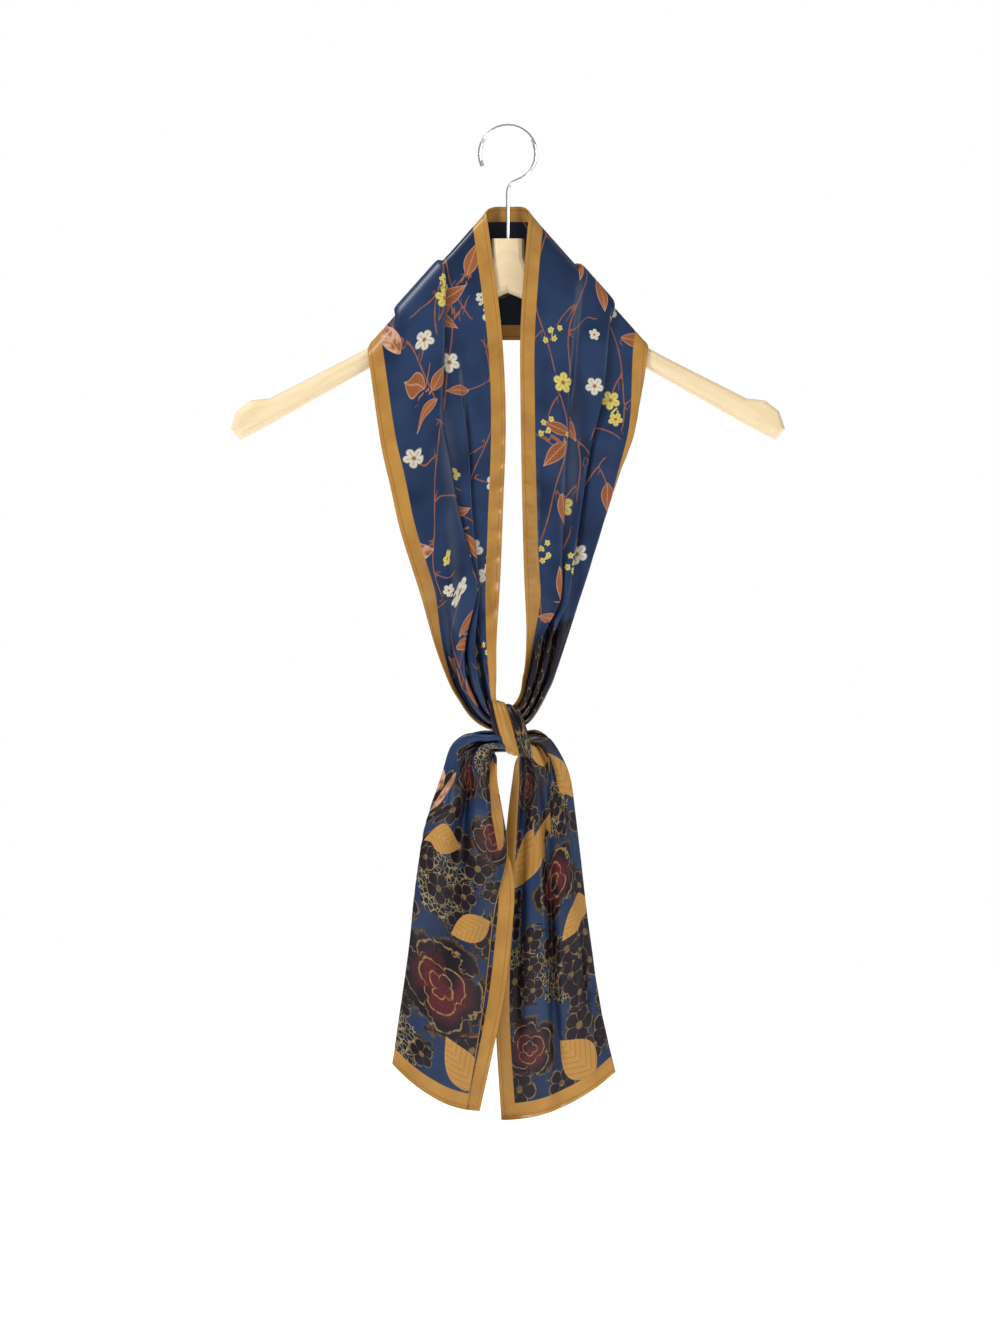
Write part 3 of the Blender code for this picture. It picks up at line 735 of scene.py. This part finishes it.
# ---- meshes -----------------------------------------------
def set_attribute(mesh, name, values):
    values = np.asarray(values, np.float32)
    kind = 'FLOAT' if values.ndim == 1 else 'FLOAT_VECTOR'
    layer = mesh.attributes.new(name, kind, 'POINT')
    layer.data.foreach_set("value" if kind == 'FLOAT' else "vector", values.ravel())


def add_cloth(name, grid, cloth, finish, around=False):
    """A thin closed shell on a grid of points; cloth has each point's place on the flat strip."""
    rows, lines = grid.shape[:2]
    if around:
        down = np.roll(grid, -1, axis=0) - np.roll(grid, 1, axis=0)
    else:
        down = np.gradient(grid, axis=0)
    normal = np.cross(down, np.gradient(grid, axis=1))
    normal /= np.maximum(np.linalg.norm(normal, axis=2), 1e-9)[..., None]
    edge = np.minimum(cloth[..., 1], CLOTH_WIDTH - cloth[..., 1])
    edge = np.minimum(edge, 0.5 * CLOTH_LENGTH - np.abs(cloth[..., 0]))
    thick = HALF_WALL + (HEM_WALL - HALF_WALL) * np.exp(-((edge - HEM_PLACE) / HEM_REACH) ** 2)
    front = grid + normal * thick[..., None]
    back = grid - normal * thick[..., None]
    verts = np.concatenate([front.reshape(-1, 3), back.reshape(-1, 3)]) * MM
    index = np.arange(rows * lines).reshape(rows, lines)
    if around:
        index = np.vstack([index, index[:1]])
    a, b = index[:-1, :-1].ravel(), index[:-1, 1:].ravel()
    c, d = index[1:, 1:].ravel(), index[1:, :-1].ravel()
    far = rows * lines
    quads = [np.stack([d, c, b, a], axis=1), np.stack([a, b, c, d], axis=1) + far]
    rims = [(index[:, 0], False), (index[:, -1], True)]
    if not around:
        rims += [(index[0], True), (index[-1], False)]
    for rim, flip in rims:
        start, stop = rim[:-1], rim[1:]
        quad = np.stack([start, stop, stop + far, start + far], axis=1)
        quads.append(quad[:, ::-1] if flip else quad)
    faces = np.concatenate(quads)
    mesh = bpy.data.meshes.new(name)
    mesh.vertices.add(len(verts))
    mesh.vertices.foreach_set("co", verts.astype(np.float32).ravel())
    mesh.loops.add(faces.size)
    mesh.loops.foreach_set("vertex_index", faces.ravel().astype(np.int32))
    mesh.polygons.add(len(faces))
    mesh.polygons.foreach_set("loop_start", np.arange(0, faces.size, 4, dtype=np.int32))
    mesh.update(calc_edges=True)
    mesh.validate()
    mesh.shade_smooth()
    spots = cloth.reshape(-1, 2)
    both = np.concatenate([spots, spots])
    set_attribute(mesh, "cloth", np.column_stack([both, np.zeros(len(both))]))
    for title, motifs in (("blossom", blossoms), ("leaf", leaves), ("bloom", blooms),
                          ("lace", laces)):
        local, near = motifs.local(spots)
        set_attribute(mesh, title, np.concatenate([local, local]))
        set_attribute(mesh, title + "_near", np.concatenate([near, near]))
    signed, near = stem_distances(spots)
    set_attribute(mesh, "stem", np.concatenate([signed, signed]))
    set_attribute(mesh, "stem_near", np.concatenate([near, near]))
    mesh.materials.append(finish)
    made = linked(name, mesh)
    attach(made, "root")
    return made


def lengths_from(grid, row):
    """Cloth length along each line of the grid from one row, negative before it."""
    steps = np.linalg.norm(np.diff(grid, axis=0), axis=2)
    total = np.vstack([np.zeros((1, grid.shape[1])), np.cumsum(steps, axis=0)])
    return total - total[row]


def cloth_places(grid, along):
    across = np.broadcast_to(ACROSS, grid.shape[:2])
    return np.stack([along, across], axis=2)


# the inner borders ripple in front, where the strands hang free
RIPPLE = 2.2
RIPPLE_PERIOD = 19.0
RIPPLE_REACH = 11.0          # from the edge inwards
RIPPLE_MIDDLE = -285.0       # height
RIPPLE_HALF = 85.0


def build_loop(finish):
    left = strand_lines(-1, LEFT_STRAND, BACK_FOLDS, LEFT_TOP_FOLDS, LEFT_FOLDS, LEFT_TOP_ROWS)
    right = strand_lines(1, RIGHT_STRAND, RIGHT_BACK_FOLDS, RIGHT_TOP_FOLDS, RIGHT_FOLDS,
                         RIGHT_TOP_ROWS)
    grid = fine_grid(np.concatenate([left[::-1], right[1:]]))
    middle = (len(left) - 1) * SUB_ROWS
    cloth = cloth_places(grid, lengths_from(grid, middle))
    grid = pressed(grid, LOOP_CREASES)
    z = grid[..., 2]
    inner = np.exp(-((CLOTH_WIDTH - cloth[..., 1]) / RIPPLE_REACH) ** 2)
    free = np.exp(-((z - RIPPLE_MIDDLE) / RIPPLE_HALF) ** 4)
    wave = np.sin(z * 2 * math.pi / RIPPLE_PERIOD + 0.8 * np.sin(z / 23.0))   # not quite even
    grid[..., 1] -= RIPPLE * wave * inner * free * (grid[..., 1] < 0)
    return add_cloth("loop", drawn_together(grid), cloth, finish)


def build_tail(name, side, table, folds, creases, finish):
    grid = fine_grid(tail_lines(table, folds))
    along = lengths_from(grid, len(grid) - 1)
    cloth = cloth_places(grid, side * (0.5 * CLOTH_LENGTH + along))
    return add_cloth(name, drawn_together(pressed(grid, creases)), cloth, finish)


# the wrap across its band: place, how far it stands out, and the cloth's place across
KNOT_PROFILE = (
    (-7, -7.6, 48), (-9.4, -5.4, 51), (-10.9, -2.6, 54), (-11.4, -0.2, 58),
    (-10.9, 1, 62), (-10, 2, 64), (-8.9, 1.6, 66), (-8.2, 0.8, 68),
    (-7.6, 0.9, 138.8), (-7, 2.4, 139.6), (-5.8, 3.3, 140.8), (-4.8, 2.9, 142),
    (-3.4, 4, 143.2), (-1.6, 4.3, 144.6), (-0.6, 3.7, 145.6), (0.4, 3.7, 146.6),
    (1.8, 2.6, 148.4), (2.6, 1, 149.6), (3, 0.8, 82), (4.2, 2.4, 85), (6.2, 2.8, 89),
    (7.2, 1.9, 92), (7.8, 1.4, 94), (8.8, 2.3, 97), (10.4, 2.3, 102),
    (11.8, 0.7, 106), (12.2, -0.8, 108), (11.8, -3.2, 111), (10.2, -5.6, 114),
    (7.8, -7.6, 117),
)
KNOT_SIDES = 140
KNOT_HALF = (9.4, 18.6)      # half depth and half height of what the wrap lies on
KNOT_GAP = 0.3               # how far the wrap lies off it
KNOT_SQUARENESS = 2.1        # 2 would be an ellipse
KNOT_LEAN = math.radians(15.0)
KNOT_SHIFT = (0.6, 1.0)      # of the wrap's middle, across and up
KNOT_PINCH = 0.07            # wider in front and behind, narrower above and below
KNOT_TAPER = 0.012           # higher towards one side, by share for each mm
KNOT_BEHIND = 0.35           # share of the profile's height that is left behind
KNOT_WRINKLE = 0.35
KNOT_PRINT = 450.0           # place along the strip of the stretch that shows in front
KNOT_TURN = 9.0              # length along the strip for each radian round the knot


def build_knot(finish):
    profile = smooth_rows(KNOT_PROFILE, 3)
    angles = np.linspace(0.0, 2 * math.pi, KNOT_SIDES, endpoint=False)
    grid = np.zeros((KNOT_SIDES, len(profile), 3))
    cloth = np.zeros((KNOT_SIDES, len(profile), 2))
    for i, angle in enumerate(angles):
        reach = (abs(math.cos(angle)) ** KNOT_SQUARENESS
                 + abs(math.sin(angle)) ** KNOT_SQUARENESS) ** (-1.0 / KNOT_SQUARENESS)
        spread = 1.0 + KNOT_PINCH * math.cos(2 * angle)
        height = KNOT_BEHIND + (1.0 - KNOT_BEHIND) * max(-math.cos(angle), 0.0)
        for k, (band_x, swell, across) in enumerate(profile):
            wrinkle = KNOT_WRINKLE * math.sin(1.7 * band_x + 1.3 * math.sin(angle)
                                              + 2.0 * math.cos(angle))
            grow = KNOT_GAP + min(swell, 0.0)    # the rims are rolled in, onto the bundle
            if swell > 0.0:
                grow += (swell + wrinkle * min(swell, 1.0)) * height
            y = (KNOT_HALF[0] + grow) * reach * math.cos(angle)
            z = (KNOT_HALF[1] + grow) * reach * math.sin(angle)
            z *= 1.0 + KNOT_TAPER * (band_x if angle > math.pi else -band_x)
            x = band_x * spread - math.tan(KNOT_LEAN) * z + KNOT_SHIFT[0]
            grid[i, k] = (KNOT_MIDDLE[0] + x, KNOT_MIDDLE[1] + y,
                          KNOT_MIDDLE[2] + z + KNOT_SHIFT[1])
            cloth[i, k] = (KNOT_PRINT + KNOT_TURN * (angle - math.pi), across)
    return add_cloth("knot", grid, cloth, finish, around=True)


# ---- materials --------------------------------------------
class Wire:
    """One number in a material's node tree; arithmetic on it adds the math nodes."""

    def __init__(self, tree, socket):
        self.tree = tree
        self.socket = socket

    def math(self, operation, *others, clamp=False):
        node = self.tree.nodes.new("ShaderNodeMath")
        node.operation = operation
        node.use_clamp = clamp
        for slot, value in zip(node.inputs, (self,) + others):
            if isinstance(value, Wire):
                self.tree.links.new(value.socket, slot)
            else:
                slot.default_value = value
        return Wire(self.tree, node.outputs[0])

    def __add__(self, other):
        return self.math('ADD', other)

    def __sub__(self, other):
        return self.math('SUBTRACT', other)

    def __mul__(self, other):
        return self.math('MULTIPLY', other)

    def __abs__(self):
        return self.math('ABSOLUTE')

    def lobes(self):
        """Petals' rounded outlines, from 0 to 1, one for each half turn."""
        return abs(self.math('COSINE')).math('SQRT')

    def over(self, edge, soft):
        """0 below the edge, 1 above it, over a soft step."""
        return ((self - edge) * (1.0 / soft) + 0.5).math('ADD', 0.0, clamp=True)

    def under(self, edge, soft):
        return ((self * -1.0 + edge) * (1.0 / soft) + 0.5).math('ADD', 0.0, clamp=True)


class Paint:
    """A material's node tree, with short calls for what the finishes use."""

    def __init__(self, name):
        self.made = bpy.data.materials.new(name)
        self.made.use_nodes = True
        self.tree = self.made.node_tree
        self.shader = self.tree.nodes["Principled BSDF"]

    def node(self, kind):
        return self.tree.nodes.new("ShaderNode" + kind)

    def attribute(self, name):
        node = self.node("Attribute")
        node.attribute_name = name
        return node

    def number(self, name):
        return Wire(self.tree, self.attribute(name).outputs["Fac"])

    def parts(self, socket):
        node = self.node("SeparateXYZ")
        self.tree.links.new(socket, node.inputs[0])
        return [Wire(self.tree, out) for out in node.outputs]

    def vector(self, name):
        return self.parts(self.attribute(name).outputs["Vector"])

    def joined(self, x, y, z=0.0):
        node = self.node("CombineXYZ")
        for slot, value in zip(node.inputs, (x, y, z)):
            if isinstance(value, Wire):
                self.tree.links.new(value.socket, slot)
            else:
                slot.default_value = value
        return node.outputs[0]

    def noise(self, where, scale, detail=2.0, distortion=0.0):
        node = self.node("TexNoise")
        node.inputs["Scale"].default_value = scale
        node.inputs["Detail"].default_value = detail
        node.inputs["Distortion"].default_value = distortion
        self.tree.links.new(where, node.inputs["Vector"])
        return Wire(self.tree, node.outputs["Fac"])

    def cells(self, where, scale):
        """Distance to the nearest border between cells."""
        node = self.node("TexVoronoi")
        node.feature = 'DISTANCE_TO_EDGE'
        node.inputs["Scale"].default_value = scale
        self.tree.links.new(where, node.inputs["Vector"])
        return Wire(self.tree, node.outputs["Distance"])

    def laid(self, under, over, share):
        """The colour over, laid on the colour under by the share."""
        node = self.node("Mix")
        node.data_type = 'RGBA'
        for slot, value in ((6, under), (7, over)):
            if isinstance(value, tuple):
                node.inputs[slot].default_value = (*value, 1.0)
            else:
                self.tree.links.new(value, node.inputs[slot])
        self.tree.links.new(share.socket, node.inputs[0])
        return node.outputs[2]

    def bump(self, height, strength, distance):
        node = self.node("Bump")
        node.inputs["Strength"].default_value = strength
        node.inputs["Distance"].default_value = distance
        self.tree.links.new(height.socket, node.inputs["Height"])
        self.tree.links.new(node.outputs["Normal"], self.shader.inputs["Normal"])

    def finish(self, colour, roughness, **constants):
        self.tree.links.new(colour, self.shader.inputs["Base Color"])
        if isinstance(roughness, Wire):
            self.tree.links.new(roughness.socket, self.shader.inputs["Roughness"])
        else:
            self.shader.inputs["Roughness"].default_value = roughness
        for name, value in constants.items():
            self.shader.inputs[name.replace("_", " ")].default_value = value
        return self.made


NAVY = (0.016, 0.034, 0.088)
NAVY_DEEP = (0.007, 0.017, 0.05)
GOLD = (0.4, 0.205, 0.044)
GOLD_DEEP = (0.27, 0.12, 0.024)
COPPER = (0.27, 0.09, 0.032)
RUST = (0.21, 0.058, 0.024)
CREAM = (0.54, 0.51, 0.42)
YELLOW = (0.52, 0.44, 0.11)
AUBERGINE = (0.009, 0.005, 0.01)
DEEP_RED = (0.11, 0.012, 0.016)
LINE_GOLD = (0.3, 0.19, 0.07)
LINE_GREIGE = (0.26, 0.21, 0.12)
PINK = (0.52, 0.3, 0.21)


# painted shade: near black laid on the cloth at the back of the neck, where it lies in shadow
NECK_PAINTED_SHADE = (0.002, 0.004, 0.012)
NECK_SHADE_REACH = 44.0            # reach of the painted shade at the back of the neck: the cloth there is darkened to stand in for the shadow it lies in
DUSK = (318.0, 486.0)        # along the strip, where the right strand turns dark, and no longer
DUSK_SLANT = 0.3
DUSK_WANDER = 60.0
SEAM = 2.9                   # the hem's seam, from the edge
STITCH = 2.6


def printed_satin():
    paint = Paint("printed satin")
    along, across, _ = paint.vector("cloth")
    where = paint.joined(along, across)
    drift = paint.noise(where, 0.02)
    colour = paint.laid(NAVY, NAVY_DEEP, drift.over(0.55, 0.25))

    # painted shade: the cloth behind the neck is darkened, for the shadow there, not for the
    # print
    neck = abs(along).under(NECK_SHADE_REACH, 30.0)
    colour = paint.laid(colour, NECK_PAINTED_SHADE, neck * 0.85)

    # towards the knot the right strand turns dark
    edge = along + (paint.noise(where, 0.035) - 0.5) * DUSK_WANDER - across * DUSK_SLANT
    dusk = edge.over(DUSK[0], 6.0) * edge.under(DUSK[1], 20.0)
    colour = paint.laid(colour, AUBERGINE, dusk * 0.92)

    # twigs
    wander = paint.noise(where, 0.15)
    width = wander * 0.8 + 0.08
    stem = (width - abs(paint.number("stem"))).over(0.0, 0.25)
    stem = stem * paint.number("stem_near").under(3.0, 0.3)
    colour = paint.laid(colour, COPPER, stem * 0.8)

    # lace of tiny florets
    ripple = (paint.noise(where, 0.11, 3.0) - 0.5) * 0.9
    patch = (paint.number("lace_near") + ripple).under(0.96, 0.05)
    cells = paint.cells(where, 0.3)
    lace = cells.under(0.07, 0.05) * paint.noise(where, 0.16).over(0.4, 0.2)
    colour = paint.laid(colour, AUBERGINE, patch * 0.92)
    colour = paint.laid(colour, LINE_GREIGE, patch * lace)

    # dark flowers: small ones with five petals, and peonies with a red heart, in fine gold lines
    x, y, kind = paint.vector("bloom")
    peony = kind.over(0.5, 0.1)
    radius = (x * x + y * y).math('SQRT')
    angle = y.math('ARCTAN2', x)
    wobble = (paint.noise(where, 0.09) - 0.5) * peony
    radius = radius + wobble * 0.2
    swing = angle + wobble * 1.6
    near = paint.number("bloom_near")
    lobe = (swing * 2.5).lobes()
    edge = lobe * 0.36 + 0.6
    ground = (edge - radius).over(0.0, 0.04) * near.under(1.1, 0.02)
    speck = paint.noise(where, 0.55).over(0.56, 0.12)
    red = peony * radius.under(0.52, 0.25) * paint.noise(where, 0.05, 1.0).over(0.4, 0.2)
    flesh = paint.laid(AUBERGINE, DEEP_RED, red * (speck * 0.45 + 0.55))
    colour = paint.laid(colour, flesh, ground)
    rim = (edge - radius).under(0.075, 0.05) * (peony * -0.62 + 1.0)
    crack = lobe.under(0.3, 0.12) * radius.over(0.25, 0.1)
    lines = rim * 0.62 + crack * (peony * -0.5 + 0.42)
    for petals, shift, low, high in ((2.0, 0.9, 0.5, 0.26), (1.5, 2.1, 0.26, 0.2),
                                     (2.0, 3.3, 0.12, 0.1)):
        inner = (swing * petals + shift).lobes()
        ring = abs(radius - (inner * high + low)).under(0.016, 0.014)
        lines = lines + ring * peony * 0.75
    heart = radius.under(0.2, 0.06) * (peony * -1.0 + 1.0)
    broken = paint.noise(where, 0.21).over(0.42, 0.14) * 0.8 + 0.2
    colour = paint.laid(colour, LINE_GOLD, ((lines + heart * 0.5) * broken).math('MINIMUM', 0.85)
                        * ground)

    # leaves
    s, t, kind = paint.vector("leaf")
    near = paint.number("leaf_near").under(1.04, 0.02)
    half = ((s + 1.0) * 0.5).math('MAXIMUM', 0.0).math('POWER', 0.8)
    half = (half * math.pi).math('SINE') * (kind.over(1.5, 0.1) * 0.2 + 0.4)
    depth = half - abs(t)
    inside = depth.over(0.0, 0.03) * near * abs(s).under(1.0, 0.01)
    vein = (s * 22.0 - abs(t) * 26.0).math('SINE').over(0.75, 0.4)
    rib = abs(t).under(0.03, 0.02)
    gold = kind.over(1.5, 0.1)
    pink = abs(kind - 1.0).under(0.4, 0.1)
    leaf = paint.laid(RUST, COPPER, drift.over(0.5, 0.3))
    leaf = paint.laid(leaf, PINK, pink * wander.over(0.5, 0.2))
    leaf = paint.laid(leaf, GOLD, gold)
    leaf = paint.laid(leaf, GOLD_DEEP, vein * 0.6)
    outline = (rib * 0.45 + depth.under(0.05, 0.03) * 0.5) * (gold * -0.75 + 1.0)
    leaf = paint.laid(leaf, PINK, outline)
    colour = paint.laid(colour, leaf, inside)

    # small blossoms with five petals
    x, y, kind = paint.vector("blossom")
    near = paint.number("blossom_near").under(1.06, 0.02)
    radius = (x * x + y * y).math('SQRT')
    angle = y.math('ARCTAN2', x)
    lobe = (angle * 2.5).lobes()
    edge = lobe * 0.5 + 0.46
    inside = (edge - radius).over(0.0, 0.06) * near
    petal = paint.laid(CREAM, YELLOW, kind.over(0.5, 0.1))
    streak = abs((angle * 2.5).math('COSINE')).over(0.96, 0.04) * radius.under(0.7, 0.1)
    petal = paint.laid(petal, RUST, streak * 0.45)
    petal = paint.laid(petal, NAVY, (edge - radius).under(0.08, 0.04) * 0.5)
    petal = paint.laid(petal, GOLD_DEEP, radius.under(0.2, 0.06))
    colour = paint.laid(colour, petal, inside)

    # border
    rim = across.math('MINIMUM', across * -1.0 + CLOTH_WIDTH)
    end = abs(along) * -1.0 + 0.5 * CLOTH_LENGTH
    border = (rim - BORDER).math('MINIMUM', end - END_BORDER).under(0.0, 0.35)
    gold = paint.laid(GOLD, GOLD_DEEP, paint.noise(where, 0.05, 3.0).over(0.56, 0.3) * 0.6)
    hem = rim.math('MINIMUM', end)
    seam = abs(hem - SEAM).under(0.35, 0.3)
    gold = paint.laid(gold, GOLD_DEEP, seam * 0.8)
    colour = paint.laid(colour, gold, border)

    # satin: long warp floats, seen as fine streaks along the strip
    floats = paint.noise(paint.joined(along * 0.35, across * 3.4), 1.0)
    colour = paint.laid(colour, (0.0, 0.0, 0.0), floats.over(0.6, 0.5) * 0.1)
    stitch = ((along + across) * (2 * math.pi / STITCH)).math('SINE') * seam
    paint.bump(floats * 0.5 + stitch * 0.6, 0.35, 0.0002)
    rough = floats * 0.1 + 0.3
    return paint.finish(colour, rough, Sheen_Weight=0.01, Sheen_Roughness=0.4,
                        Specular_IOR_Level=0.24, Anisotropic=0.3)


def maple():
    paint = Paint("maple")
    where = paint.node("TexCoord").outputs["Object"]
    x, y, z = paint.parts(where)
    along = abs(x) * 0.88 + z * -0.47
    over = abs(x) * 0.47 + z * 0.88
    where = paint.joined(along * 0.1, over, y)
    grain = paint.noise(where, 260.0, 3.0, 0.4)
    broad = paint.noise(where, 45.0, 2.0, 1.0)
    colour = paint.laid((0.8, 0.66, 0.43), (0.69, 0.53, 0.31), broad.over(0.5, 0.5))
    colour = paint.laid(colour, (0.56, 0.4, 0.22), grain.over(0.62, 0.25) * 0.35)
    paint.bump(grain, 0.15, 0.0003)
    return paint.finish(colour, grain * 0.15 + 0.36, Coat_Weight=0.25, Coat_Roughness=0.2)


def steel():
    paint = Paint("polished steel")
    where = paint.node("TexCoord").outputs["Object"]
    rub = paint.noise(where, 900.0)
    colour = paint.laid((0.84, 0.84, 0.84), (0.72, 0.72, 0.73), rub.over(0.5, 0.5))
    return paint.finish(colour, rub * 0.12 + 0.1, Metallic=1.0)


def dress_node(node, finish):
    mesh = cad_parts[node].data
    mesh.materials.clear()
    mesh.materials.append(finish)


def main():
    add_camera()
    add_surroundings()
    satin = printed_satin()
    loop = build_loop(satin)
    left = build_tail("tail-left", -1, TAIL_LEFT, TAIL_LEFT_FOLDS, LEFT_TAIL_CREASES, satin)
    right = build_tail("tail-right", 1, TAIL_RIGHT, TAIL_RIGHT_FOLDS, RIGHT_TAIL_CREASES, satin)
    knot = build_knot(satin)
    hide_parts("neck_loop")
    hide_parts("tail_left")
    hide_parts("tail_right")
    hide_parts("knot_wrap")
    dress_node("hanger_wood", maple())
    dress_node("hanger_hook", steel())


main()
